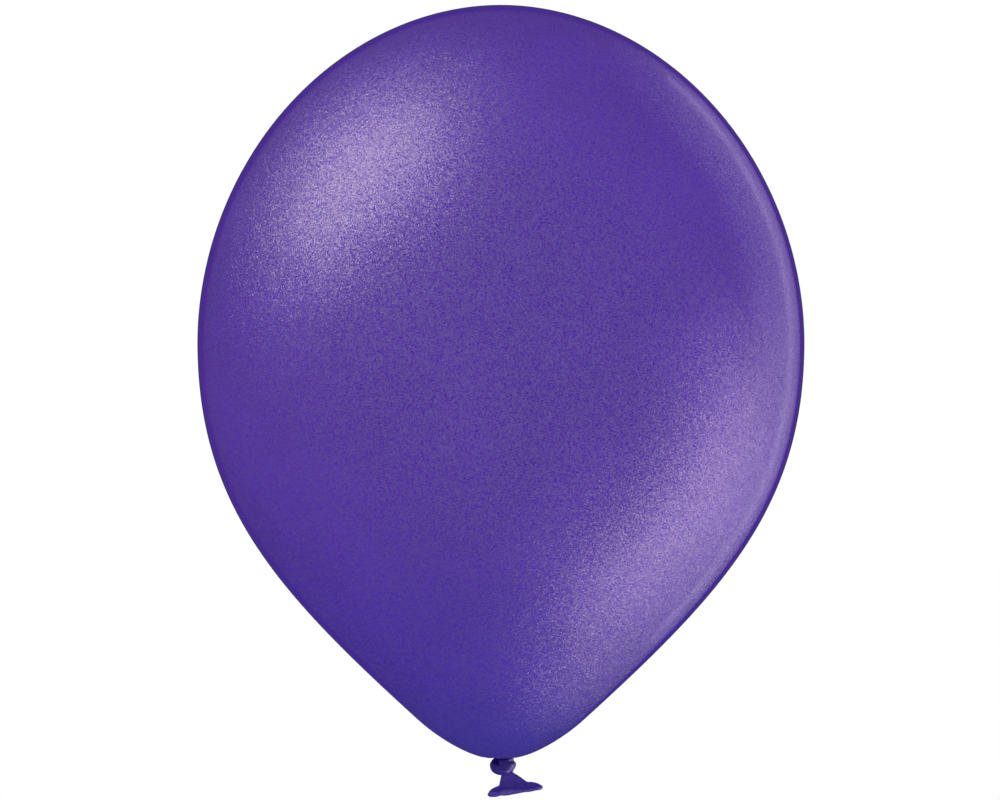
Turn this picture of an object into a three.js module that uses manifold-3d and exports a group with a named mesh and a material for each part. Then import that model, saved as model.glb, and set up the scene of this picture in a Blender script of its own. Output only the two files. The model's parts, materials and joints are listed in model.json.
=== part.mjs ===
// A tied, inflated latex balloon hanging crown up. Millimetres, +Z up.
// The balloon's axis is the Z axis, and z = 0 is the lowest point of the rolled lip.
import * as THREE from "three";
import { mergeVertices } from "three/addons/utils/BufferGeometryUtils.js";
import Module from "manifold-3d";

// Driving dimensions
const BALLOON_DIA = 300; // widest diameter of the inflated film
const KNOT_WIDTH = 13.6; // widest part of the knot, wrap included
const LIP_LENGTH = 27.6; // rolled lip pressed flat, end to end
const LIP_BEAD_DIA = 3.4; // thickness of the rolled bead
const SLEEVE_THICKNESS = 2.2; // the flattened tail, front face to back face
const FILM_WALL = 0.009; // stretched film over most of the balloon
const THROAT_WALL = 0.3; // hardly stretched rubber where the film is gathered
const CROWN_WALL = 0.06; // the thicker spot at the crown
const CROWN_FLAT_R = 6; // radius of the flat spot at the crown
const GAP = 0.35; // clearance between pieces that turn on each other
const REST = 0.3; // clearance between pieces that only lie together

// Outline of the inflated film. The PULL points aim its curves.
const MAX_R = BALLOON_DIA / 2;
const EQUATOR_Z = 0.753 * BALLOON_DIA;
const CROWN_RISE = 0.5567 * BALLOON_DIA;
const CROWN_POWER = 1.954; // 2 would make the upper half an exact ellipse
const SHOULDER_PULL_Z = EQUATOR_Z - BALLOON_DIA / 3.75;
const FLANK_PULL = [0.3697 * BALLOON_DIA, 0.3447 * BALLOON_DIA];
const FLANK_END = [0.1403 * BALLOON_DIA, 0.1333 * BALLOON_DIA];
const BOWL_PULL = [0.0963 * BALLOON_DIA, 0.0927 * BALLOON_DIA];
const DIMPLE_R = 9.6; // rim of the dimple that holds the top of the knot
const DIMPLE_Z = 21.1;
const THROAT_BALL_R = 3.2;
const THROAT_Z = 26.3; // centre of the gathered throat, and the pivot of its sway

// How far the thicker rubber reaches out from the axis
const CROWN_SPOT_R = 25;
const THROAT_SPREAD_R = 40;
const THROAT_FALL = 4; // a higher power keeps the thick rubber nearer the throat

// The knot hangs from the throat by a short strand
const STRAND_R = 1.9;
const STRAND_BALL_R = 2.3;
const STRAND_BALL_Z = 21.6; // pivot of the knot's nod
const KNOT_Z = 16.8;
const KNOT_X = 0.6; // the knot sits a little to one side
const WRAP_TUBE_R = 1.9;
const WRAP_FRONT_DIP_DEG = 24; // the turn runs lower at the front
const WRAP_LEFT_DIP_DEG = 18; // and lower on the left
const CORE_INSET = 0.55; // how far the core lies inside the wrap's outer edge
const KNOT_HALF_HEIGHT = 5.5;
const ROOM_MOUTH_R = 1.5 * (STRAND_BALL_R + GAP); // opening the strand leans in
const ROOM_MOUTH_Z = STRAND_BALL_Z + 1.6 * (STRAND_BALL_R + GAP);

// The tail leans: its local X runs along the lip, its local Z up towards the knot
const TAIL_LEAN_DEG = 8.1;
const LIP_CENTRE = new THREE.Vector3(6.9, 0, 3.69);
const STEM_X = -2.5; // twist axis, off the middle of the lip
const STEM_BALL_R = 2.4;
const STEM_BALL_Z = 9.7;
const STEM_BALL_FOOT_DEG = -15; // where the ball runs into the waist
const STEM_WAIST_R = 2.2;
const STEM_WAIST_Z = 8.3;
const STEM_FLARE_R = 3.1;
const STEM_BEVEL_IN = 0.2; // bevel round the flared foot
const STEM_BEVEL_UP = 0.5;
const FLAP_Z = 5.5; // fold between stem and sleeve
const FACE_FOOT_Z = 2.7; // the sleeve's flat faces end here, clear above the bead
const MOUTH_Z = 0.2; // open end of the sleeve, inside the bead
const SLEEVE_TOP = [STEM_X - 3.4, STEM_X + 4.3]; // left and right edge at the fold
const SLEEVE_FOOT = [STEM_X - 4.4, STEM_X + 8.4]; // and at the foot of the faces
const SLOT_HALF = 0.35; // half the width of the mouth's slit
const SLOT_EDGE = 0.2; // extra rubber at the two ends of the slit
const LIP_TILT_DEG = 12; // the bead's near side rides higher than its far side

// Mesh fineness
const FILM_SEGMENTS = 56;
const CROWN_ROWS = 15;
const FLANK_ROWS = 11;
const BOWL_ROWS = 5;
const SMALL_SEGMENTS = 28;
const BALL_ROWS = 7;
const BULB_ROWS = 9;
const CORE_ROWS = 18;
const WRAP_SEGMENTS = 36;
const WRAP_TUBE_SEGMENTS = 14;
const SLEEVE_EDGE_STEPS = 4;
const LIP_SEGMENTS = 64;
const BEAD_SEGMENTS = 12;

const latex = new THREE.MeshStandardMaterial({
  color: 0x543a9b,
  roughness: 0.35,
  metalness: 0.1,
});
const gatheredLatex = new THREE.MeshStandardMaterial({
  color: 0x2d1e6e,
  roughness: 0.3,
  metalness: 0.1,
});

const wasm = await Module();
wasm.setup();

function piece(name, geometry, material) {
  const mesh = new THREE.Mesh(geometry, material);
  mesh.name = name;
  return mesh;
}

// Points of a cubic curve given as [radius, height] pairs, without its first point.
function curvePoints(controls, count) {
  const [a, b, c, d] = controls.map(([r, z]) => new THREE.Vector2(r, z));
  return new THREE.CubicBezierCurve(a, b, c, d).getPoints(count).slice(1);
}

// Turns a [radius, height] profile about the Z axis.
function revolve(profile, segments) {
  const geometry = new THREE.LatheGeometry(profile, segments);
  return geometry.rotateX(Math.PI / 2);
}

// Points of a circular arc in the profile plane, from one angle to another, 90 degrees being up.
function arc(height, radius, fromDeg, toDeg, count) {
  const points = [];
  for (let i = 0; i <= count; i++) {
    const angle = THREE.MathUtils.degToRad(
      fromDeg + ((toDeg - fromDeg) * i) / count,
    );
    const r = Math.max(0, radius * Math.cos(angle));
    points.push(new THREE.Vector2(r, height + radius * Math.sin(angle)));
  }
  return points;
}

// A three.js geometry as a manifold-3d solid, for joining and cutting.
function toSolid(geometry) {
  const bare = new THREE.BufferGeometry();
  bare.setAttribute("position", geometry.getAttribute("position"));
  bare.setIndex(geometry.index);
  const merged = mergeVertices(bare, 1e-4);
  const corners = merged.index.array;
  const kept = [];
  for (let i = 0; i < corners.length; i += 3) {
    const [a, b, c] = corners.slice(i, i + 3);
    if (a !== b && b !== c && c !== a) kept.push(a, b, c);
  }
  return new wasm.Manifold(
    new wasm.Mesh({
      numProp: 3,
      vertProperties: merged.getAttribute("position").array,
      triVerts: new Uint32Array(kept),
    }),
  );
}

function toGeometry(solid) {
  const mesh = solid.getMesh();
  const geometry = new THREE.BufferGeometry();
  const positions = new THREE.BufferAttribute(mesh.vertProperties, 3);
  geometry.setAttribute("position", positions);
  geometry.setIndex(new THREE.BufferAttribute(mesh.triVerts, 1));
  geometry.computeVertexNormals();
  return geometry;
}

// A closed solid through a stack of rings with equal point counts; a flat fan closes each end.
function loft(rings) {
  const count = rings[0].length;
  const positions = rings.flat().flatMap((p) => [p.x, p.y, p.z]);
  const index = [];
  for (let level = 0; level + 1 < rings.length; level++) {
    for (let i = 0; i < count; i++) {
      const a = level * count + i;
      const b = level * count + ((i + 1) % count);
      index.push(a, a + count, b, b, a + count, b + count);
    }
  }
  for (const [level, first, second] of [
    [0, 0, 1],
    [rings.length - 1, 1, 0],
  ]) {
    const centre = positions.length / 3;
    const middle = rings[level]
      .reduce((sum, p) => sum.add(p), new THREE.Vector3())
      .divideScalar(count);
    positions.push(middle.x, middle.y, middle.z);
    for (let i = 0; i < count; i++) {
      const pair = [level * count + i, level * count + ((i + 1) % count)];
      index.push(centre, pair[first], pair[second]);
    }
  }
  const geometry = new THREE.BufferGeometry();
  geometry.setAttribute(
    "position",
    new THREE.Float32BufferAttribute(positions, 3),
  );
  geometry.setIndex(index);
  geometry.computeVertexNormals();
  return geometry;
}

// The film's outer surface, from the rim of the crown's flat spot down to the throat.
function filmProfile() {
  const points = [];
  const flatAngle = Math.acos((CROWN_FLAT_R / MAX_R) ** (CROWN_POWER / 2));
  for (let i = CROWN_ROWS; i >= 0; i--) {
    const angle = (flatAngle * i) / CROWN_ROWS;
    const r = MAX_R * Math.cos(angle) ** (2 / CROWN_POWER);
    const rise = CROWN_RISE * Math.sin(angle) ** (2 / CROWN_POWER);
    points.push(new THREE.Vector2(r, EQUATOR_Z + rise));
  }
  const rim = [DIMPLE_R, DIMPLE_Z];
  const flank = [
    [MAX_R, EQUATOR_Z],
    [MAX_R, SHOULDER_PULL_Z],
    FLANK_PULL,
    FLANK_END,
  ];
  const bowl = [FLANK_END, BOWL_PULL, [1.5 * DIMPLE_R, DIMPLE_Z], rim];
  const dimple = [
    rim,
    [0.92 * DIMPLE_R, DIMPLE_Z],
    [0.48 * DIMPLE_R, THROAT_Z - STRAND_R],
    [THROAT_BALL_R + GAP, THROAT_Z],
  ];
  points.push(...curvePoints(flank, FLANK_ROWS));
  points.push(...curvePoints(bowl, BOWL_ROWS));
  points.push(...curvePoints(dimple, BOWL_ROWS));
  return points;
}

// The wall is thick at the crown's spot, thinnest over the flanks and thick again at the throat.
function wallAt(point) {
  if (point.y > EQUATOR_Z) {
    const away = THREE.MathUtils.smoothstep(
      point.x,
      CROWN_FLAT_R,
      CROWN_SPOT_R,
    );
    return THREE.MathUtils.lerp(CROWN_WALL, FILM_WALL, away);
  }
  const toThroat =
    1 - THREE.MathUtils.smoothstep(point.x, THROAT_BALL_R, THROAT_SPREAD_R);
  return FILM_WALL + (THROAT_WALL - FILM_WALL) * toThroat ** THROAT_FALL;
}

// The inflated film: an open shell whose only opening is the throat.
function envelope() {
  const outer = filmProfile();
  const inner = outer.map((point, i) => {
    const before = outer[Math.max(i - 1, 0)];
    const after = outer[Math.min(i + 1, outer.length - 1)];
    const along = after.clone().sub(before).normalize();
    const inward = new THREE.Vector2(along.y, -along.x);
    if (i === 0) inward.set(0, -1);
    if (i === outer.length - 1) inward.set(1, 0);
    return point.clone().addScaledVector(inward, wallAt(point));
  });
  const crownOut = new THREE.Vector2(0, outer[0].y);
  const crownIn = new THREE.Vector2(0, inner[0].y);
  const profile = [crownIn, ...inner, ...outer.reverse(), crownOut];
  return piece("envelope", revolve(profile, FILM_SEGMENTS), latex);
}

// The pleats drawn together: a bulb in the throat and a strand that ends inside the knot.
function neckGeometry() {
  const bulbFoot = THREE.MathUtils.radToDeg(
    Math.asin(STRAND_R / THROAT_BALL_R),
  );
  const ballTop = THREE.MathUtils.radToDeg(Math.acos(STRAND_R / STRAND_BALL_R));
  const profile = [
    ...arc(STRAND_BALL_Z, STRAND_BALL_R, -90, ballTop, BALL_ROWS),
    ...arc(THROAT_Z, THROAT_BALL_R, bulbFoot - 90, 90, BULB_ROWS),
  ];
  return revolve(profile, SMALL_SEGMENTS);
}

// The sphere the strand's lower end turns in, opened upwards so the strand can lean.
function strandRoom() {
  const profile = [
    ...arc(STRAND_BALL_Z, STRAND_BALL_R + GAP, -90, 0, BALL_ROWS),
    new THREE.Vector2(ROOM_MOUTH_R, ROOM_MOUTH_Z),
    new THREE.Vector2(0, ROOM_MOUTH_Z),
  ];
  return toSolid(revolve(profile, SMALL_SEGMENTS));
}

// The ring the wrap follows round the core; extra grows its tube, to cut the groove it lies in.
function wrapRing(extra) {
  const ringR = KNOT_WIDTH / 2 - WRAP_TUBE_R;
  const ring = new THREE.TorusGeometry(
    ringR,
    WRAP_TUBE_R + extra,
    WRAP_TUBE_SEGMENTS,
    WRAP_SEGMENTS,
  );
  ring.rotateX(THREE.MathUtils.degToRad(WRAP_FRONT_DIP_DEG));
  ring.rotateY(THREE.MathUtils.degToRad(-WRAP_LEFT_DIP_DEG));
  ring.translate(KNOT_X, 0, KNOT_Z);
  return toSolid(ring);
}

// The stem, about its own upright axis: a ball held in the knot, a waist, and a flared foot.
function stemGeometry(extra) {
  const foot = FLAP_Z + SLEEVE_THICKNESS / 2 + GAP - extra;
  const flare = STEM_FLARE_R + extra;
  const ballR = STEM_BALL_R + extra;
  const profile = [
    new THREE.Vector2(0, foot),
    new THREE.Vector2(flare, foot),
    new THREE.Vector2(flare - STEM_BEVEL_IN, foot + STEM_BEVEL_UP),
    new THREE.Vector2(STEM_WAIST_R + extra, STEM_WAIST_Z),
    ...arc(STEM_BALL_Z, ballR, STEM_BALL_FOOT_DEG, 90, BALL_ROWS),
  ];
  return revolve(profile, SMALL_SEGMENTS).translate(STEM_X, 0, 0);
}

function placeTail(object) {
  object.position.copy(LIP_CENTRE);
  object.rotation.y = THREE.MathUtils.degToRad(-TAIL_LEAN_DEG);
  object.updateMatrixWorld(true);
  return object;
}

// The knot's body and the turn of strand that locks it, each cut clear of the strand and the stem.
function knot() {
  const coreR = KNOT_WIDTH / 2 - CORE_INSET;
  const ball = new THREE.SphereGeometry(1, SMALL_SEGMENTS, CORE_ROWS);
  ball.rotateX(Math.PI / 2);
  ball.scale(coreR, coreR, KNOT_HALF_HEIGHT);
  ball.translate(KNOT_X, 0, KNOT_Z);
  const frame = placeTail(new THREE.Object3D());
  const stemRoom = toSolid(stemGeometry(GAP).applyMatrix4(frame.matrixWorld));
  const rooms = strandRoom().add(stemRoom);
  const core = toSolid(ball).subtract(wrapRing(REST)).subtract(rooms);
  const wrap = wrapRing(0).subtract(rooms);
  return [
    piece("knot_core", toGeometry(core), gatheredLatex),
    piece("knot_wrap", toGeometry(wrap), gatheredLatex),
  ];
}

// One level of the flattened sleeve: two straight faces joined by round edges.
function sleeveRing(z, left, right, half) {
  const points = [];
  for (const [x, turn] of [
    [right - half, -90],
    [left + half, 90],
  ]) {
    for (let i = 0; i <= SLEEVE_EDGE_STEPS; i++) {
      const angle = THREE.MathUtils.degToRad(
        turn + (180 * i) / SLEEVE_EDGE_STEPS,
      );
      const px = x + half * Math.cos(angle);
      points.push(new THREE.Vector3(px, half * Math.sin(angle), z));
    }
  }
  return points;
}

// The flattened mouth of the balloon below the fold, open at its lower end.
function sleeve() {
  const half = SLEEVE_THICKNESS / 2;
  const slotInset = half - SLOT_HALF + SLOT_EDGE;
  const mouthEnd = LIP_LENGTH / 2 - LIP_BEAD_DIA - REST;
  const edges = new Map([
    [FLAP_Z, SLEEVE_TOP],
    [FACE_FOOT_Z, SLEEVE_FOOT],
    [MOUTH_Z, [-mouthEnd, mouthEnd]],
  ]);
  const rings = [];
  const roundTopDegrees = [80, 55, 28];
  for (const degrees of roundTopDegrees) {
    const angle = THREE.MathUtils.degToRad(degrees);
    const pinch = half * (1 - Math.cos(angle));
    const z = FLAP_Z + half * Math.sin(angle);
    const [left, right] = SLEEVE_TOP;
    rings.push(sleeveRing(z, left + pinch, right - pinch, half - pinch));
  }
  for (const [z, [left, right]] of edges) {
    rings.push(sleeveRing(z, left, right, half));
  }
  for (const z of [MOUTH_Z, FACE_FOOT_Z]) {
    const left = edges.get(z)[0] + slotInset;
    const right = edges.get(z)[1] - slotInset;
    rings.push(sleeveRing(z, left, right, SLOT_HALF));
  }
  return piece("tail_sleeve", loft(rings), latex);
}

// The rolled bead: a round cord running once round the flattened mouth.
function lipBead() {
  const beadR = LIP_BEAD_DIA / 2;
  const halfDepth = SLEEVE_THICKNESS / 2 + REST + beadR;
  const straightHalf = LIP_LENGTH / 2 - beadR - halfDepth;
  const outline = new THREE.Path();
  outline.moveTo(-straightHalf, -halfDepth);
  outline.lineTo(straightHalf, -halfDepth);
  outline.absarc(straightHalf, 0, halfDepth, -Math.PI / 2, Math.PI / 2);
  outline.lineTo(-straightHalf, halfDepth);
  outline.absarc(-straightHalf, 0, halfDepth, Math.PI / 2, 1.5 * Math.PI);
  class MouthLine extends THREE.Curve {
    getPoint(t, target = new THREE.Vector3()) {
      const { x, y } = outline.getPointAt(t);
      return target.set(x, y, 0);
    }
  }
  const bead = new THREE.TubeGeometry(
    new MouthLine(),
    LIP_SEGMENTS,
    beadR,
    BEAD_SEGMENTS,
    true,
  );
  bead.rotateX(THREE.MathUtils.degToRad(-LIP_TILT_DEG));
  return piece("lip_bead", bead, latex);
}

function tail() {
  const group = placeTail(new THREE.Group());
  group.add(piece("tail_stem", stemGeometry(0), gatheredLatex));
  group.add(sleeve(), lipBead());
  return group;
}

const balloon = new THREE.Group();
balloon.name = "latex_balloon";
balloon.add(envelope());
balloon.add(piece("neck", neckGeometry(), gatheredLatex));
balloon.add(...knot());
balloon.add(tail());

export default balloon;
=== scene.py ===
import json
import math

import bpy
import numpy as np
from mathutils import Matrix, Vector


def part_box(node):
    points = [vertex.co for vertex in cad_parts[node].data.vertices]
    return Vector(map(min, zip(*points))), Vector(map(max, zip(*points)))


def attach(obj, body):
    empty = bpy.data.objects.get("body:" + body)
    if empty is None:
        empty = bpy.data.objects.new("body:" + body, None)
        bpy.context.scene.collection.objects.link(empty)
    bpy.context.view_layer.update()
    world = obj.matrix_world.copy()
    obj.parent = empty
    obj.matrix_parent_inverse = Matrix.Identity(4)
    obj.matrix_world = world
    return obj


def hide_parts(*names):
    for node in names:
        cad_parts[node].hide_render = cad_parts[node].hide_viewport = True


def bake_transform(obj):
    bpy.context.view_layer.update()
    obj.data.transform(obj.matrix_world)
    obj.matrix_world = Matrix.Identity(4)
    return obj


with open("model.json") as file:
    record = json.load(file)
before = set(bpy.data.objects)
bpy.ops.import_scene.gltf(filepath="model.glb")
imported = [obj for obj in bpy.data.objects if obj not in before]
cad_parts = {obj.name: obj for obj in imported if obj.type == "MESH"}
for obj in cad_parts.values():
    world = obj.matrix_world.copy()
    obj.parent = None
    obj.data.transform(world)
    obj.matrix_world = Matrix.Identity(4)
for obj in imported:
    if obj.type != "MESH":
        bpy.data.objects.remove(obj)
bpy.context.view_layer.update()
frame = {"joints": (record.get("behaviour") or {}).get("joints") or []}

# A tied latex balloon in pearl purple, hanging crown up. Everything is in metres, in the CAD's frame:
# +Z runs up the balloon's axis, +X to the viewer's right and +Y away from the viewer.

FILM_LOW, FILM_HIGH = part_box("envelope")
KNOT_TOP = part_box("knot_core")[1].z
JOINTS = {joint["name"]: joint for joint in frame["joints"]}

MM = 0.001
FULL_TURN = 2 * math.pi

# Film: the CAD's outline. Its points are radius and height as shares of the widest diameter.
DIA = FILM_HIGH.x - FILM_LOW.x
EQUATOR_Z = 0.753 * DIA
CROWN_RISE = 0.5567 * DIA
CROWN_Z = EQUATOR_Z + CROWN_RISE
CROWN_POWER = 1.954
EQUATOR_PULL = (0.5, 0.48633)
FLANK_PULL = (0.36967, 0.34467)
FLANK_END = (0.14033, 0.13333)
BOWL_PULL = (0.09633, 0.09267)
BOWL_FLAT_R = 0.045 * DIA
CROWN_ROWS = 110
FLANK_ROWS = 70
BOWL_ROWS = 40
FILM_COLUMNS = 160

# Dimple and throat: where the film turns in round the knot and is drawn into folds.
DIMPLE_R = 8.2 * MM
DIMPLE_Z = FILM_LOW.z - 0.5 * MM
DIMPLE_ROLL_R = 7.6 * MM
THROAT_PULL = (6.6 * MM, 25.2 * MM)
THROAT_R = 2.2 * MM
THROAT_Z = JOINTS["neck_sway"]["pos_m"][2]
THROAT_ROWS = 44
DIMPLE_CLEARANCE = 0.35 * MM     # room left between the dimple and the top of the knot
GATHER = 0.14 * MM               # how far the folds rise and fall at the dimple's rim
GATHER_START_R = 0.055 * DIA
PLEATS = 13
PLEAT_DEPTH = 1.1 * MM           # the folds gain a quarter of this halfway up the throat
PLEAT_SQUEEZE = 0.10             # how far the folds narrow and widen the throat, as a share
PLEAT_LIFT = 0.4                 # keeps the folds mostly above the smooth outline

# Knot: one strand tied in an overhand knot, pulled tight and squeezed into a rounded lump.
STRAND_NODES = 112
STRAND_DIA = 4.7 * MM            # the strand's thickness while it is pulled tight
STRAND_R = 3.5 * MM              # its radius afterwards, swollen so that the turns press flat on each other
STRAND_START_R = 2 * MM          # and where it comes out of the throat
STRAND_SWELL = (2 * MM, 8 * MM)  # it swells over this stretch of its length
STRAND_TAPER = 0.30 * MM         # and gets this much thinner
STRAND_TAPER_LENGTH = 1.2 * MM   # over its last stretch, at the stem
THROAT_TUCK = 4 * MM             # the strand is pulled from this far above the throat
STEM_PULL = 9 * MM               # and from this far below the stem's top
KNOT_START = 0.3 * MM            # the knot is shown from this far above the throat
KNOT_END = 1.6 * MM              # to this far below the stem's top
KNOT_TURN = math.radians(24)     # the knot's turn about the vertical
KNOT_WIDEN = 1.42
KNOT_SHIFT = -0.65 * MM
KNOT_LIFT = 1.3 * MM
KNOT_ROWS = 300
KNOT_COLUMNS = 64
KNOT_FOLD = 0.022                # depth of the creases, as a share of the radius
CONTACT_GAP = 0.06 * MM

# Pulling it tight.
LOOSE_SPAN = 2.15                # how far the slack knot's formula runs either way
LOOSE_SCALE = 0.95               # its size in strand thicknesses
TIGHTEN_STEPS = 1100
PUSH_SHARE = 0.25                # share of an overlap that each of two stretches gives way in a step
NEIGHBOUR_REACH = 1.6            # stretches nearer than this along the strand don't push, in thicknesses
TIGHT_SHARE = 0.9                # the strand is shortened until stretches overlap down to this share
SHORTEN = 0.998
STRAIGHTEN = 0.12
EVEN_PASSES = 6
SMOOTH_PASSES = 6
PRESS_PASSES = 3
PRESS_REACH = 2.2                # stretches nearer than this along the strand don't press, in radii

# The lump that the tight knot is drawn into, and its shoulder, narrow enough to lean in the dimple.
LUMP_CENTRE = np.array((0.85, 0, 16.7)) * MM
LUMP_R = np.array((6.9, 6.6, 6.1)) * MM
LUMP_POWER = 8
LUMP_FROM = (3 * MM, 8 * MM)     # the lump's pull sets in over this stretch of the strand
SHOULDER_Z = 18.6 * MM
SHOULDER_R = 6.4 * MM
SHOULDER_DEPTH = 2.2 * MM

# Tail: a flat frame of its own, with u along the lip, w up the stem and y front to back.
TAIL_W = Vector(JOINTS["tail_twist"]["axis"])
TAIL_U = Vector((TAIL_W.z, 0, -TAIL_W.x))
STEM_TOP = Vector(JOINTS["tail_twist"]["pos_m"])
STEM_X = -2.5 * MM
STEM_BALL_Z = 9.7 * MM
LIP_CENTRE = STEM_TOP - TAIL_U * STEM_X - TAIL_W * STEM_BALL_Z

# The mouth fans out from the knot to the rim. Each level is in millimetres of the tail's frame:
# left edge's x and z, right edge's x and z, and half the depth from front to back. All sizes of the
# mouth and its bead are in millimetres.
FAN_LEVELS = (
    (-4.7, 10.9, -0.3, 10.9, 2.2),
    (-5.5, 8.8, 0.3, 9.2, 2.1),
    (-6.7, 5.5, 3.5, 6.4, 1.6),
    (-7.5, 3.6, 6.6, 3.5, 1.35),
    (-9.6, 2.95, 8.9, 3.0, 1.35),
    (-11.7, 2.1, 11.5, 2.05, 1.6),
    (-12.8, 1.1, 12.9, 0.9, 1.9),
    (-12.6, -0.2, 12.7, -0.25, 2.1),
)
RIM_LEVEL = len(FAN_LEVELS) - 1
SHOULDER_LEVEL = 3
RIM_X = (-13, -9, -4, 1, 6, 10, 13)
NEAR_RIM_Z = (-0.2, 0.2, 0.5, 0.0, -0.5, -0.6, -0.25)
FAR_RIM_Z = (-0.2, -1.2, -1.4, -1.2, -1.1, -0.95, -0.25)
FAN_ROWS = 90
FAN_INSIDE_FROM = 31             # the row where the mouth's hollow ends, up in the stem
FAN_WALL = 0.3
FAN_SQUARENESS = 0.8             # below 1, the mouth's ring is flatter than an ellipse
FOLD_DEPTH = 0.07
BUCKLE_X = 0.8
BUCKLE_Z = 1.3
BUCKLE_HALF_WIDTH = 1.3
BUCKLE_DEPTH = 0.45
BEAD_R = 0.9
BEAD_GROOVE = 0.07
BEAD_GROOVE_WIDTH = 0.16
BEAD_GROOVE_TURNS = (0.9, 2.4, 3.7, 5.3)
MOUTH_COLUMNS = 160
BEAD_COLUMNS = 240
BEAD_SIDES = 40

# Pearl pigment: grains of mica in the rubber, each with its own tone, shine and lean.
GRAIN = 0.38 * MM
SPECK = 0.20
SPECK_TINT = (0.49, 0.35, 1.0)
FLAKE_TILT = 0.33

# Tones of the rubber, and the heights in metres between which one gives way to the next.
FILM_LOW_TONE = (0.057, 0.010, 0.465, 1)
# Partly painted sheen: the higher tone is lighter and pinker where light from above falls on the film.
FILM_HIGH_TONE_AND_SHEEN = (0.100, 0.017, 0.484, 1)
FILM_FOOT_TONE = (0.056, 0.034, 0.375, 1)
# Painted shade: the film's dark tone where it is seen edge on.
FILM_SILHOUETTE_SHADE_TONE = (0.062, 0.040, 0.220, 1)
CROWN_SPOT_TONE = (0.020, 0.008, 0.150, 1)
# Painted shade: the slack rubber's dark tone where it is seen edge on.
SLACK_SILHOUETTE_SHADE_TONE = (0.010, 0.004, 0.090, 1)
SLACK_SHINE_TINT = (0.55, 0.55, 1.0, 1)
LOW_TO_HIGH = (0.03, 0.20)
FOOT_TO_TAUT = (0.030, 0.066)
SPECK_RISE = (0.06, 0.20)
CROWN_SPOT_Z = (0.30, 0.38)
CROWN_SPOT_R = (4 * MM, 16 * MM)

# How far from facing the viewer, 0 to 1, each change sets in and ends.
SPECK_FADE = (0.05, 0.35)
TILT_RISE = (0.1, 0.5)
SHINE_END = (0.76, 0.84)
# Painted shade darkens the film over this range towards its silhouette.
FILM_EDGE_SHADE_RANGE = (0.78, 0.93)
# Painted shade darkens the slack rubber over this range towards its silhouette.
SLACK_EDGE_SHADE_RANGE = (0.60, 0.95)

# Studio: panels that show only in reflections, in a tent that gives the soft light.
AMBIENT = 0.88
MIRRORED = 0.02
FLOOR_Z = -1.1
FLOOR_HALF = 20
FLOOR_FADE_START = 1.0
FLOOR_FADE_END = 4.0
LIGHT_TARGET = Vector((0, 0, 0.95 * EQUATOR_Z))
RIM_ARC_COUNT = 6
RIM_ARC_POLAR = math.radians(46)
RIM_ARC_START = math.radians(-43)
RIM_ARC_END = math.radians(46)
CAMERA_X = -0.00045
CAMERA_Z = 0.1977
CAMERA_DISTANCE = 1.3806
CAMERA_LENS = 100                # in millimetres, as is the sensor's width
CAMERA_SENSOR = 36


def tail_points(local):
    """An array of points in the tail's frame, moved to the object's frame."""
    u = np.array(TAIL_U)
    w = np.array(TAIL_W)
    y = np.array((0.0, 1.0, 0.0))
    return np.array(LIP_CENTRE) + local[..., :1] * u + local[..., 1:2] * y + local[..., 2:] * w


def tail_height(points):
    """How far up the stem each point lies from the stem's top, in metres."""
    return (points - np.array(STEM_TOP)) @ np.array(TAIL_W)


# ---------------------------------------------------------------- mesh helpers

def cubic(a, b, c, d, count):
    """Points along a cubic curve, without its first point."""
    t = np.linspace(0, 1, count + 1)[1:, None]
    a, b, c, d = (np.array(p, float) for p in (a, b, c, d))
    return (1 - t) ** 3 * a + 3 * t * (1 - t) ** 2 * b + 3 * t * t * (1 - t) * c + t ** 3 * d


def smooth(x, low, high):
    """0 below low, 1 above high, and an even S between them."""
    t = np.clip((x - low) / (high - low), 0, 1)
    return t * t * (3 - 2 * t)


def of_dia(pair):
    """A radius and a height given as shares of the widest diameter."""
    return (pair[0] * DIA, pair[1] * DIA)


def around(count):
    """Angles evenly spaced round a full turn."""
    return np.linspace(0, FULL_TURN, count, endpoint=False)


def revolved(r, z, angle):
    """Rings of points from a radius and a height at each row and angle."""
    return np.stack([r * np.cos(angle), r * np.sin(angle), z], -1)


def tube(line, r, angle, first_side, second_side):
    """Rings of points round a line. r is the distance from it at each row and angle."""
    across = np.cos(angle)[None, :, None] * first_side[:, None]
    return line[:, None] + r[..., None] * (across + np.sin(angle)[None, :, None] * second_side[:, None])


def mesh_piece(name, rings, first_cap=None, last_cap=None, loop=False):
    """A mesh skinned over rings of points. A cap is a point that closes one end."""
    rows, columns = rings.shape[:2]
    points = [tuple(p) for ring in rings for p in ring]
    faces = []
    for i in range(rows if loop else rows - 1):
        here = i * columns
        there = (i + 1) % rows * columns
        for j in range(columns):
            k = (j + 1) % columns
            faces.append((here + j, here + k, there + k, there + j))
    if first_cap is not None:
        points.append(tuple(first_cap))
        faces += [(len(points) - 1, (j + 1) % columns, j) for j in range(columns)]
    if last_cap is not None:
        points.append(tuple(last_cap))
        end = (rows - 1) * columns
        faces += [(len(points) - 1, end + j, end + (j + 1) % columns) for j in range(columns)]
    mesh = bpy.data.meshes.new(name)
    mesh.from_pydata(points, [], faces)
    mesh.validate()
    mesh.shade_smooth()
    piece = bpy.data.objects.new(name, mesh)
    bpy.context.scene.collection.objects.link(piece)
    return piece


def finish_piece(piece, material, slot, *nodes):
    """Gives a piece its material, and hides the CAD nodes that it stands for."""
    piece.data.materials.append(material)
    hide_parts(*nodes)


# ---------------------------------------------------------------- materials

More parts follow.
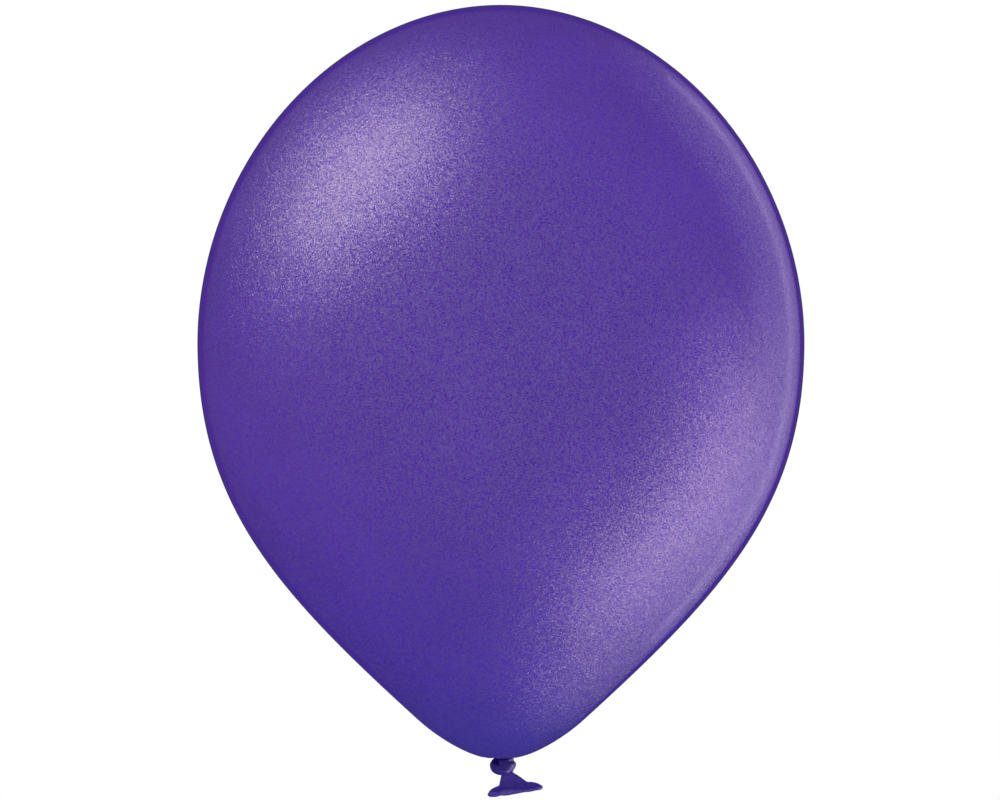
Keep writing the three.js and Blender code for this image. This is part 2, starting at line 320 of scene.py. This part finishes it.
class Nodes:
    """Short calls that add nodes to one material or world."""

    def __init__(self, owner):
        owner.use_nodes = True
        self.tree = owner.node_tree
        self.tree.nodes.clear()

    def add(self, kind, inputs=(), **settings):
        node = self.tree.nodes.new(kind)
        for key, value in settings.items():
            setattr(node, key, value)
        for key, value in dict(inputs).items():
            self.feed(node.inputs[key], value)
        return node

    def feed(self, socket, value):
        if isinstance(value, bpy.types.NodeSocket):
            self.tree.links.new(value, socket)
        else:
            socket.default_value = value

    def object_place(self):
        """Where each point lies in the object's frame."""
        return self.add("ShaderNodeTexCoord").outputs["Object"]

    def facing(self):
        """0 where the surface looks at the viewer, rising to 1 at its silhouette."""
        return self.add("ShaderNodeLayerWeight", {"Blend": 0.5}).outputs["Facing"]

    def split(self, vector):
        """The X, Y and Z of a vector."""
        return self.add("ShaderNodeSeparateXYZ", {"Vector": vector}).outputs

    def length(self, vector):
        return self.add("ShaderNodeVectorMath", {0: vector}, operation="LENGTH").outputs["Value"]

    def maths(self, operation, *values):
        node = self.add("ShaderNodeMath", operation=operation)
        for socket, value in zip(node.inputs, values):
            self.feed(socket, value)
        return node.outputs[0]

    def vector(self, operation, *values, scale=None):
        node = self.add("ShaderNodeVectorMath", operation=operation)
        for socket, value in zip(node.inputs, values):
            self.feed(socket, value)
        if scale is not None:
            self.feed(node.inputs["Scale"], scale)
        return node.outputs[0]

    def ramp(self, value, low, high, to_low=0.0, to_high=1.0):
        """An even S from to_low, where the value is low, to to_high, where it is high."""
        node = self.add("ShaderNodeMapRange", interpolation_type="SMOOTHSTEP")
        for socket, x in zip(node.inputs, (value, low, high, to_low, to_high)):
            self.feed(socket, x)
        return node.outputs[0]

    def mix(self, share, a, b, blend="MIX"):
        node = self.add("ShaderNodeMix", data_type="RGBA", blend_type=blend)
        self.feed(node.inputs[0], share)
        self.feed(node.inputs[6], a)
        self.feed(node.inputs[7], b)
        return node.outputs[2]

    def noise(self, place, size, detail=2.0):
        """Soft noise with features of about this size in metres."""
        node = self.add("ShaderNodeTexNoise", {"Vector": place, "Scale": 1 / size, "Detail": detail})
        return node.outputs[0]

    def patches(self, place, size, to_low=0.0, to_high=1.0):
        """Soft patches of about this size that run from to_low to to_high."""
        return self.ramp(self.noise(place, size), 0.3, 0.7, to_low, to_high)

    def cells(self, place, size):
        """A random colour for each grain of about this size in metres."""
        node = self.add("ShaderNodeTexVoronoi", {"Vector": place, "Scale": 1 / size})
        return node.outputs["Color"]


def grey(value):
    return (value, value, value, 1)


def flake_normal(n, place, size, tilt):
    """The surface normal, leaned at random in each grain of pigment."""
    lean = n.vector("SUBTRACT", n.cells(place, size), (0.5, 0.5, 0.5))
    plain = n.add("ShaderNodeNewGeometry").outputs["Normal"]
    return n.vector("NORMALIZE", n.vector("ADD", plain, n.vector("SCALE", lean, scale=tilt)))


def shaded(n, tone, factor):
    """The tone made lighter or darker by a factor."""
    return n.mix(1.0, tone, n.vector("SCALE", (1, 1, 1), scale=factor), "MULTIPLY")


def film_tone(n, place, height):
    """The film's colour, without grain: a little deeper low down, where it is less stretched, and lighter
    and pinker higher up, partly as painted sheen from the light above; duller in its slack foot.
    """
    tone = n.mix(n.ramp(height, *LOW_TO_HIGH), FILM_LOW_TONE, FILM_HIGH_TONE_AND_SHEEN)
    tone = n.mix(n.ramp(height, *FOOT_TO_TAUT, 1, 0), tone, FILM_FOOT_TONE)
    return shaded(n, tone, n.patches(place, 45 * MM, 0.96, 1.04))


def with_speck(n, tone, flake, height, facing):
    """The tone with each grain a little lighter or darker, most where the film looks at the viewer."""
    strength = n.ramp(facing, *SPECK_FADE, SPECK, 0.3 * SPECK)
    depth = n.maths("MULTIPLY", strength, n.ramp(height, *SPECK_RISE, 0.4, 1.0))
    swing = n.maths("MULTIPLY", n.maths("SUBTRACT", flake, 0.5), depth)
    return n.vector("MAXIMUM", n.vector("ADD", tone, n.vector("SCALE", SPECK_TINT, scale=swing)), (0, 0, 0))


def with_crown_spot_and_edge_shade(n, tone, place, height, facing):
    """The tone made deeper at the thick crown spot, and darkened as painted shade where the film is seen
    edge on.
    """
    off_axis = n.length(n.vector("MULTIPLY", place, (1, 1, 0)))
    crown = n.maths("MULTIPLY", n.ramp(off_axis, *CROWN_SPOT_R, 1, 0), n.ramp(height, *CROWN_SPOT_Z))
    tone = n.mix(n.maths("MULTIPLY", crown, 0.5), tone, CROWN_SPOT_TONE)
    # Painted shade: the tone darkens towards the silhouette.
    return n.mix(n.ramp(facing, *FILM_EDGE_SHADE_RANGE), tone, FILM_SILHOUETTE_SHADE_TONE)


def pearl_film():
    """Stretched latex with pearl pigment: grainy in its highlights, with less shine in its slack foot."""
    material = bpy.data.materials.new("pearl_stretched_latex")
    n = Nodes(material)
    place = n.object_place()
    height = n.split(place)["Z"]
    facing = n.facing()
    grain = n.split(n.cells(place, GRAIN))
    flake = n.maths("FRACT", n.maths("MULTIPLY", grain["X"], 9.0))
    tone = with_speck(n, film_tone(n, place, height), flake, height, facing)
    tone = with_crown_spot_and_edge_shade(n, tone, place, height, facing)
    taut = n.ramp(height, *FOOT_TO_TAUT, 0.1, 1)
    shine = n.maths("MULTIPLY", n.ramp(facing, *SHINE_END, 0.98, 0), taut)
    tilt = n.ramp(facing, *TILT_RISE, FLAKE_TILT, 1.6 * FLAKE_TILT)
    shader = n.add("ShaderNodeBsdfPrincipled", {
        "Base Color": tone,
        "Roughness": n.ramp(grain["Y"], 0.0, 1.0, 0.36, 0.44),
        "IOR": 2.2,
        "Specular IOR Level": n.maths("MULTIPLY", flake, shine),
        "Normal": flake_normal(n, place, GRAIN, tilt),
        "Coat Weight": 0.12,
        "Coat Roughness": 0.15,
        "Coat IOR": 1.5,
    })
    n.add("ShaderNodeOutputMaterial", {"Surface": shader.outputs[0]})
    return material


def slack_latex(name, dark, pale, patch, gloss, gloss_rough, wrinkle):
    """Unstretched latex: mottled between two tones, with fine wrinkles and a thin clear gloss."""
    material = bpy.data.materials.new(name)
    n = Nodes(material)
    place = n.object_place()
    tone = n.mix(n.patches(place, patch), dark, pale)
    grain = n.split(n.cells(place, 0.4 * GRAIN))
    tone = shaded(n, tone, n.ramp(grain["X"], 0.0, 1.0, 0.88, 1.12))
    # Painted shade: the tone darkens towards the silhouette.
    tone = n.mix(n.ramp(n.facing(), *SLACK_EDGE_SHADE_RANGE, 0, 0.8), tone, SLACK_SILHOUETTE_SHADE_TONE)
    bump = n.add("ShaderNodeBump", {
        "Height": n.noise(place, wrinkle, 3.0),
        "Strength": 0.3,
        "Distance": 0.2 * MM,
        "Normal": flake_normal(n, place, GRAIN, 0.06),
    })
    shader = n.add("ShaderNodeBsdfPrincipled", {
        "Base Color": tone,
        "Roughness": n.patches(place, 1.6 * MM, 0.28, 0.38),
        "IOR": 1.9,
        "Specular Tint": SLACK_SHINE_TINT,
        "Normal": bump.outputs[0],
        "Coat Weight": gloss,
        "Coat Roughness": gloss_rough,
        "Coat IOR": 1.5,
    })
    n.add("ShaderNodeOutputMaterial", {"Surface": shader.outputs[0]})
    return material


def gathered_latex():
    """Thick rubber of the knot: the deepest tone."""
    return slack_latex("pearl_gathered_latex", dark=(0.018, 0.008, 0.165, 1), pale=(0.040, 0.016, 0.270, 1),
                       patch=4 * MM, gloss=0.35, gloss_rough=0.26, wrinkle=1.1 * MM)


def relaxed_latex():
    """Slack rubber of the mouth: paler than the knot."""
    return slack_latex("pearl_relaxed_latex", dark=(0.040, 0.012, 0.290, 1), pale=(0.062, 0.020, 0.380, 1),
                       patch=5 * MM, gloss=0.35, gloss_rough=0.22, wrinkle=0.8 * MM)


def rolled_latex_with_sheen():
    """The bead of the lip, where many turns of slack film lie on each other: glossiest, and palest partly
    as a painted reflection.
    """
    # Painted reflection in part: the pale tone stands for sheen that the bead catches from its
    # surroundings.
    return slack_latex("pearl_rolled_latex", dark=(0.052, 0.022, 0.300, 1), pale=(0.095, 0.052, 0.400, 1),
                       patch=6 * MM, gloss=0.55, gloss_rough=0.22, wrinkle=0.8 * MM)


# ---------------------------------------------------------------- film and throat

def pleat_waves(angle):
    """Uneven folds round the neck, between -1 and 1."""
    main = np.cos(PLEATS * angle + 0.9 * np.sin(2 * angle))
    fine = np.cos((2 * PLEATS + 3) * angle + 1.3 * np.sin(3 * angle + 1))
    return 0.7 * main + 0.3 * fine


def film_skin(material):
    """The inflated film, from the crown down to the rim of the dimple that holds the knot."""
    turn = np.linspace(math.pi / 2, 0, CROWN_ROWS)
    power = 2 / CROWN_POWER
    crown = np.c_[DIA / 2 * np.cos(turn) ** power, EQUATOR_Z + CROWN_RISE * np.sin(turn) ** power]
    equator = (DIA / 2, EQUATOR_Z)
    flank = cubic(equator, of_dia(EQUATOR_PULL), of_dia(FLANK_PULL), of_dia(FLANK_END), FLANK_ROWS)
    rim = (DIMPLE_R, DIMPLE_Z)
    bowl = cubic(of_dia(FLANK_END), of_dia(BOWL_PULL), (BOWL_FLAT_R, DIMPLE_Z), rim, BOWL_ROWS)
    outline = np.vstack([crown[1:], flank, bowl])
    angle = around(FILM_COLUMNS)
    r = outline[:, :1] * np.ones_like(angle)
    z = outline[:, 1:] * np.ones_like(angle)
    below = outline[:, 1:] < EQUATOR_Z
    gather = GATHER * smooth(-outline[:, :1], -GATHER_START_R, -DIMPLE_R) * below
    z = z + gather * (pleat_waves(angle) + PLEAT_LIFT)
    film = mesh_piece("film_skin", revolved(r, z, angle), first_cap=(0, 0, CROWN_Z))
    finish_piece(film, material, "stretched_latex", "envelope")
    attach(film, "film")


def dimple_outline():
    """Radius and height from the rim of the dimple up to the tied throat."""
    start = (DIMPLE_R, DIMPLE_Z)
    rise = cubic(start, (DIMPLE_ROLL_R, DIMPLE_Z), THROAT_PULL, (THROAT_R, THROAT_Z), THROAT_ROWS)
    return np.vstack([[start], rise])


def throat_pleats(material):
    """The film drawn into folds, from the rim of the dimple up to the tied throat."""
    outline = dimple_outline()
    angle = around(FILM_COLUMNS)
    depth = smooth(-outline[:, :1], -DIMPLE_R, -THROAT_R)
    wave = pleat_waves(angle)
    r = outline[:, :1] * (1 + PLEAT_SQUEEZE * depth * wave)
    z = outline[:, 1:] + (GATHER + PLEAT_DEPTH * depth * (1 - depth)) * (wave + PLEAT_LIFT)
    throat = mesh_piece("throat_pleats", revolved(r, z, angle))
    finish_piece(throat, material, "gathered_latex", "neck")
    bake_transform(throat)


# ---------------------------------------------------------------- knot

def loose_overhand(turn):
    """Centre line of a slack overhand knot, turned about the vertical."""
    t = np.linspace(LOOSE_SPAN, -LOOSE_SPAN, STRAND_NODES)
    curve = np.c_[t ** 3 - 3 * t, t ** 4 - 4 * t ** 2 + 2, (t ** 5 - 10 * t) / 6]
    x, y, z = (curve * STRAND_DIA * LOOSE_SCALE).T
    c, s = math.cos(turn), math.sin(turn)
    return np.c_[x * c - y * s, x * s + y * c, z]


def pushed_apart(line, first, second):
    """The line with touching stretches pushed apart, and the smallest distance between stretches."""
    gap = line[second] - line[first]
    distance = np.linalg.norm(gap, axis=1)
    close = distance < STRAND_DIA
    if close.any():
        first, second = first[close], second[close]
        gap, distance = gap[close], distance[close]
        push = (PUSH_SHARE * (STRAND_DIA - distance) / distance)[:, None] * gap
        move = np.zeros_like(line)
        touches = np.zeros(len(line))
        np.add.at(move, first, -push)
        np.add.at(move, second, push)
        np.add.at(touches, first, 1)
        np.add.at(touches, second, 1)
        line = line + move / np.sqrt(np.maximum(touches, 1))[:, None]
    return line, distance.min()


def evened(line, piece, top, bottom):
    """The line with every piece brought towards the same length, held at both ends."""
    line = line.copy()
    for start in (0, 1):
        a = np.arange(start, len(line) - 1, 2)
        gap = line[a + 1] - line[a]
        length = np.linalg.norm(gap, axis=1)[:, None]
        fix = 0.5 * (length - piece) / length * gap
        line[a] += fix
        line[a + 1] -= fix
    line[0] = top
    line[-1] = bottom
    return line


def tight_overhand(top, bottom, turn):
    """Centre line of an overhand knot pulled tight between two end points.

    Each step pushes apart stretches that come closer than the strand is thick, straightens the
    strand a little and keeps its pieces equally long. The strand is shortened while it is slack.
    """
    line = loose_overhand(turn) + (top + bottom) / 2
    first, second = np.triu_indices(STRAND_NODES, 1)
    piece = np.linalg.norm(np.diff(line, axis=0), axis=1).mean()
    for _ in range(TIGHTEN_STEPS):
        apart = second - first >= max(2, math.ceil(NEIGHBOUR_REACH * STRAND_DIA / piece))
        line, closest = pushed_apart(line, first[apart], second[apart])
        if closest > TIGHT_SHARE * STRAND_DIA:
            piece *= SHORTEN
        line[1:-1] += STRAIGHTEN * ((line[:-2] + line[2:]) / 2 - line[1:-1])
        for _ in range(EVEN_PASSES):
            line = evened(line, piece, top, bottom)
    return line


def resample(line, count):
    """The same line with evenly spaced points, smoothed a little, and each point's length along it."""
    along = np.r_[0, np.cumsum(np.linalg.norm(np.diff(line, axis=0), axis=1))]
    even = np.linspace(0, along[-1], count)
    points = np.stack([np.interp(even, along, line[:, k]) for k in range(3)], -1)
    for _ in range(SMOOTH_PASSES):
        points[1:-1] = 0.5 * points[1:-1] + 0.25 * (points[:-2] + points[2:])
    return points, even


def frames_along(line):
    """Two side directions at each point that turn as little as possible along the line."""
    ahead = np.gradient(line, axis=0)
    ahead /= np.linalg.norm(ahead, axis=1)[:, None]
    side = np.cross(ahead[0], (0, 1, 0))
    sides = []
    for direction in ahead:
        side = side - direction * (side @ direction)
        side = side / np.linalg.norm(side)
        sides.append(side)
    sides = np.array(sides)
    return sides, np.cross(ahead, sides)


def press_flat(rings, line, radius, even):
    """Moves points that reach into a neighbouring stretch back to the plane between the two."""
    for _ in range(PRESS_PASSES):
        for i in range(len(line)):
            others = np.abs(even - even[i]) > PRESS_REACH * radius[i]
            gap = line[others] - line[i]
            distance = np.linalg.norm(gap, axis=1)
            near = distance < radius[i] + radius[others]
            for d, g, r in zip(distance[near], gap[near], radius[others][near]):
                direction = g / d
                share = radius[i] / (radius[i] + r)
                over = (rings[i] - line[i]) @ direction - d * share + CONTACT_GAP
                rings[i] -= np.maximum(over, 0)[:, None] * direction
    return rings


def cinched(points):
    """The points drawn into the rounded lump that a tight knot is pulled to."""
    away = (points - LUMP_CENTRE) / LUMP_R
    reach = np.linalg.norm(away, axis=-1, keepdims=True)
    return LUMP_CENTRE + away * LUMP_R / (1 + reach ** LUMP_POWER) ** (1 / LUMP_POWER)


def clear_of_rim(points):
    """The points drawn in near the top, where the knot would touch the dimple's rim when it leans."""
    reach = np.hypot(points[..., 0], points[..., 1])
    heights = (SHOULDER_Z - SHOULDER_DEPTH, SHOULDER_Z)
    limit = np.interp(points[..., 2], heights, (DIMPLE_R, SHOULDER_R))
    share = np.minimum(1, limit / np.maximum(reach, MM))
    return points * np.stack([share, share, np.ones_like(share)], -1)


def under_dimple(r):
    """How high the knot may reach at this distance from the axis, just under the throat's folds."""
    outline = dimple_outline()
    return np.interp(r, outline[::-1, 0], outline[::-1, 1], right=1) - DIMPLE_CLEARANCE


def knot_line():
    """The knot's centre line from the throat to where the stem leaves it, and the length along it."""
    top = np.array((0, 0, THROAT_Z + THROAT_TUCK))
    bottom = np.array(STEM_TOP) - np.array(TAIL_W) * STEM_PULL
    line, even = resample(tight_overhand(top, bottom, KNOT_TURN), KNOT_ROWS)
    above_stem = smooth(line[:, 2], STEM_TOP.z - 3 * MM, STEM_TOP.z + MM)
    below_throat = smooth(-line[:, 2], -THROAT_Z, -KNOT_TOP)
    middle = above_stem * below_throat
    line[:, 0] += (KNOT_SHIFT + (KNOT_WIDEN - 1) * line[:, 0]) * middle
    line[:, 2] += KNOT_LIFT * middle
    first = np.argmax(line[:, 2] <= THROAT_Z + KNOT_START)
    last = len(line) - 1 - np.argmax(tail_height(line)[::-1] >= -KNOT_END)
    return line[first:last], even[first:last]


def strand_radius(length):
    """The strand's radius along the knot: thin in the throat, full in the knot, drawn in at the stem."""
    thin = (STRAND_R - STRAND_START_R) * (1 - smooth(length, *STRAND_SWELL))
    taper = STRAND_TAPER * smooth(length, length[-1] - STRAND_TAPER_LENGTH, length[-1])
    return STRAND_R - thin - taper


def strand_folds(length, angle):
    """Uneven creases that wind slowly round the strand."""
    wind = length[:, None] / MM
    main = np.cos(7 * angle + 0.16 * wind)
    fine = np.cos(11 * angle - 0.11 * wind + 1.0)
    broad = np.cos(3 * angle + 0.35 * wind)
    return main + 0.6 * fine + 0.5 * broad


def overhand_knot(material):
    """The tied knot, from the throat in the dimple down to where the tail leaves it."""
    line, even = knot_line()
    sides, ups = frames_along(line)
    angle = around(KNOT_COLUMNS)
    length = even - even[0]
    radius = strand_radius(length)
    r = radius[:, None] * (1 + KNOT_FOLD * strand_folds(length, angle))
    rings = press_flat(tube(line, r, angle, sides, ups), line, radius, even)
    rings += smooth(length, *LUMP_FROM)[:, None, None] * (cinched(rings) - rings)
    rings = clear_of_rim(rings)
    rings[..., 2] = np.minimum(rings[..., 2], under_dimple(np.hypot(rings[..., 0], rings[..., 1])))
    knot = mesh_piece("overhand_knot", rings, first_cap=line[0], last_cap=line[-1])
    finish_piece(knot, material, "gathered_latex", "knot_core", "knot_wrap")
    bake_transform(knot)


# ---------------------------------------------------------------- tail

def through(levels, values, at):
    """A smooth curve through a few values, read at these levels."""
    levels = np.array(levels, float)
    values = np.array(values, float)
    at = np.asarray(at, float)
    slope = np.gradient(values, levels)
    i = np.clip(np.searchsorted(levels, at) - 1, 0, len(levels) - 2)
    width = levels[i + 1] - levels[i]
    t = np.clip((at - levels[i]) / width, 0, 1)
    return ((2 * t ** 3 - 3 * t ** 2 + 1) * values[i] + (t ** 3 - 2 * t ** 2 + t) * width * slope[i]
            + (3 * t ** 2 - 2 * t ** 3) * values[i + 1] + (t ** 3 - t ** 2) * width * slope[i + 1])


def rim_height(x, depth):
    """How high the rim runs at x, between its near side (depth -1) and its far side (depth 1)."""
    near = (1 - depth) / 2
    return near * through(RIM_X, NEAR_RIM_Z, x) + (1 - near) * through(RIM_X, FAR_RIM_Z, x)


def fan_ring(level, angle):
    """One ring of the mouth in millimetres of the tail's frame, from level 0 in the knot to the rim."""
    steps = np.arange(len(FAN_LEVELS))
    left_x, left_z, right_x, right_z, half = (through(steps, column, level) for column in zip(*FAN_LEVELS))
    across = np.cos(angle)
    depth = np.sin(angle)
    x = (left_x + right_x) / 2 + (right_x - left_x) / 2 * across
    y = half * np.sign(depth) * np.abs(depth) ** FAN_SQUARENESS

    # Both edges follow the levels; between them the rings sink gradually to the rim's own line.
    edge_z = left_z + (right_z - left_z) * (across + 1) / 2
    shoulder_z = (FAN_LEVELS[SHOULDER_LEVEL][1] + FAN_LEVELS[SHOULDER_LEVEL][3]) / 2
    share = np.clip((level - SHOULDER_LEVEL) / (RIM_LEVEL - SHOULDER_LEVEL), 0, 1)
    middle_z = shoulder_z + (rim_height(x, depth) - shoulder_z) * share
    edge = np.abs(across) ** 4 if level > SHOULDER_LEVEL else 1
    z = edge_z * edge + middle_z * (1 - edge)

    # Soft folds run down from the knot, and one small buckle stands out on the near side of the rim.
    folds = np.cos(14 * across + 0.5) + 0.7 * np.cos(23 * across + 2.0 + depth)
    spread = smooth(level, 0.5, 3.0) * (1 - 0.6 * smooth(level, 4.0, 7.0))
    y = y + FOLD_DEPTH * spread * folds * (1 - across ** 4) * np.sign(depth)
    buckle = np.exp(-((x - BUCKLE_X) / BUCKLE_HALF_WIDTH) ** 2 - (z - BUCKLE_Z) ** 2) * (depth < 0)
    return np.stack([x, y - BUCKLE_DEPTH * buckle, z], -1)


def inside_of(ring):
    """The ring moved in by the wall's thickness, towards its own middle."""
    inward = ring.mean(0) - ring
    inward[:, 2] = 0
    return ring + FAN_WALL * inward / np.linalg.norm(inward, axis=1)[:, None]


def tail_fan(material):
    """The flattened mouth of the balloon, from inside the knot down to its open rim."""
    angle = around(MOUTH_COLUMNS)
    outer = [fan_ring(level, angle) for level in np.linspace(0, RIM_LEVEL, FAN_ROWS)]
    inner = [inside_of(ring) for ring in outer[:FAN_INSIDE_FROM - 1:-1]]
    rings = tail_points(np.array(outer + inner) * MM)
    fan = mesh_piece("tail_fan", rings, first_cap=rings[0].mean(0), last_cap=rings[-1].mean(0))
    finish_piece(fan, material, "relaxed_latex", "tail_stem", "tail_sleeve")
    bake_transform(fan)


def unit(vectors):
    """The same directions with length 1."""
    return vectors / np.linalg.norm(vectors, axis=1)[:, None]


def bead_thickness(path, angle):
    """The bead's radius round the mouth: uneven, fatter on the near left side and at both ends."""
    x, y = path[:, 0], path[:, 1]
    uneven = BEAD_R * (1 + 0.05 * np.cos(7 * angle + 0.4) + 0.04 * np.cos(13 * angle))
    near_left = smooth(-y, 0, 1.5) * smooth(-x, -1, 5) * smooth(x, -13, -9)
    ends = smooth(np.abs(x), 9, 13)
    return uneven * (1 + 0.8 * near_left) * (1 + 0.35 * ends)


def rolled_lip(material):
    """The bead that rings the mouth: film rolled on itself, so each turn shows as a fine groove."""
    angle = around(BEAD_COLUMNS)
    path = fan_ring(RIM_LEVEL, angle)
    ahead = unit(np.roll(path, -1, 0) - np.roll(path, 1, 0))
    up = unit(np.array((0, 0, 1.0)) - ahead * ahead[:, 2:])
    out = np.cross(ahead, up)
    turn = around(BEAD_SIDES)
    from_groove = [np.angle(np.exp(1j * (turn - at))) for at in BEAD_GROOVE_TURNS]
    groove = sum(BEAD_GROOVE * np.exp(-(away / BEAD_GROOVE_WIDTH) ** 2) for away in from_groove)
    r = bead_thickness(path, angle)[:, None] * (1 - groove)
    lip = mesh_piece("rolled_lip", tail_points(tube(path, r, turn, out, up) * MM), loop=True)
    finish_piece(lip, material, "relaxed_latex", "lip_bead")
    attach(lip, "tail")


# ---------------------------------------------------------------- studio

def softbox(name, direction, along, distance, size, power, colour):
    """A panel that faces the balloon and shows only in reflections. Its long side runs along "along"."""
    light = bpy.data.lights.new(name, "AREA")
    light.shape = "RECTANGLE"
    light.size, light.size_y = size
    light.energy = power
    light.color = colour
    panel = bpy.data.objects.new(name, light)
    back = Vector(direction).normalized()
    long_side = Vector(along)
    long_side = (long_side - back * long_side.dot(back)).normalized()
    wide = long_side.cross(back)
    turned = Matrix((wide, long_side, back)).transposed().to_4x4()
    panel.matrix_world = Matrix.Translation(LIGHT_TARGET + back * distance) @ turned
    panel.visible_camera = False
    panel.visible_diffuse = False
    bpy.context.scene.collection.objects.link(panel)


def surroundings():
    """White to the camera, even and pale for soft light, and dim in reflections, as in a tented studio."""
    world = bpy.data.worlds.new("studio")
    bpy.context.scene.world = world
    n = Nodes(world)
    path = n.add("ShaderNodeLightPath").outputs
    soft = n.maths("MULTIPLY", path["Is Diffuse Ray"], AMBIENT)
    strength = n.maths("ADD", n.maths("ADD", path["Is Camera Ray"], soft), MIRRORED)
    back = n.add("ShaderNodeBackground", {"Color": grey(1.0), "Strength": strength})
    n.add("ShaderNodeOutputWorld", {"Surface": back.outputs[0]})
    world.cycles.sampling_method = "NONE"


def pale_floor():
    """A wide pale floor below the balloon that turns to plain white with distance."""
    corners = [(x * FLOOR_HALF, y * FLOOR_HALF, FLOOR_Z) for x, y in ((-1, -1), (1, -1), (1, 1), (-1, 1))]
    mesh = bpy.data.meshes.new("floor")
    mesh.from_pydata(corners, [], [(0, 1, 2, 3)])
    floor = bpy.data.objects.new("floor", mesh)
    bpy.context.scene.collection.objects.link(floor)
    material = bpy.data.materials.new("pale_floor")
    n = Nodes(material)
    place = n.object_place()
    away = n.length(n.vector("MULTIPLY", place, (1, 1, 0)))
    pale = n.add("ShaderNodeBsdfPrincipled", {"Base Color": grey(0.86), "Roughness": 0.7})
    white = n.add("ShaderNodeEmission", {"Color": grey(1.0), "Strength": 1.0})
    fade = {0: n.ramp(away, FLOOR_FADE_START, FLOOR_FADE_END), 1: pale.outputs[0], 2: white.outputs[0]}
    both = n.add("ShaderNodeMixShader", fade)
    n.add("ShaderNodeOutputMaterial", {"Surface": both.outputs[0]})
    floor.data.materials.append(material)
    floor.visible_glossy = False
    floor.visible_diffuse = False


def studio_lights():
    """A key panel upper left, a strip lower right, and an arc of strips behind for the bright rim."""
    softbox("key_softbox", direction=(-0.67, -0.22, 0.70), along=(0.74, -0.26, 0.62), distance=1.3,
            size=(0.70, 1.17), power=8.5, colour=(1, 0.85, 0.82))
    softbox("low_strip", direction=(0.81, 0.06, -0.59), along=(-0.61, -0.08, -0.79), distance=1.0,
            size=(0.39, 1.29), power=4.85, colour=(1, 0.77, 0.9))
    across = math.sin(RIM_ARC_POLAR)
    for i in range(RIM_ARC_COUNT):
        turn = RIM_ARC_START + (RIM_ARC_END - RIM_ARC_START) * i / (RIM_ARC_COUNT - 1)
        direction = (across * math.cos(turn), math.cos(RIM_ARC_POLAR), across * math.sin(turn))
        softbox(f"rim_strip_{i}", direction, along=(-math.sin(turn), 0, math.cos(turn)), distance=1.5,
                size=(0.16, 0.33), power=0.60, colour=(0.87, 0.72, 1))


def photo_camera():
    """Level, in front of the balloon, with a lens that frames it from crown to lip."""
    data = bpy.data.cameras.new("camera")
    data.lens = CAMERA_LENS
    data.sensor_width = CAMERA_SENSOR
    camera = bpy.data.objects.new("camera", data)
    camera.location = (CAMERA_X, -CAMERA_DISTANCE, CAMERA_Z)
    camera.rotation_euler = (math.pi / 2, 0, 0)
    bpy.context.scene.collection.objects.link(camera)
    bpy.context.scene.camera = camera


def write_sizes():
    """Brings the view layer up to date."""
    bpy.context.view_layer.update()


def main():
    gathered = gathered_latex()
    film_skin(pearl_film())
    throat_pleats(gathered)
    overhand_knot(gathered)
    tail_fan(relaxed_latex())
    rolled_lip(rolled_latex_with_sheen())
    surroundings()
    pale_floor()
    studio_lights()
    photo_camera()
    bpy.context.scene.view_settings.view_transform = "Standard"
    bpy.context.scene.view_settings.look = "None"
    bpy.context.view_layer.update()
    write_sizes()


main()
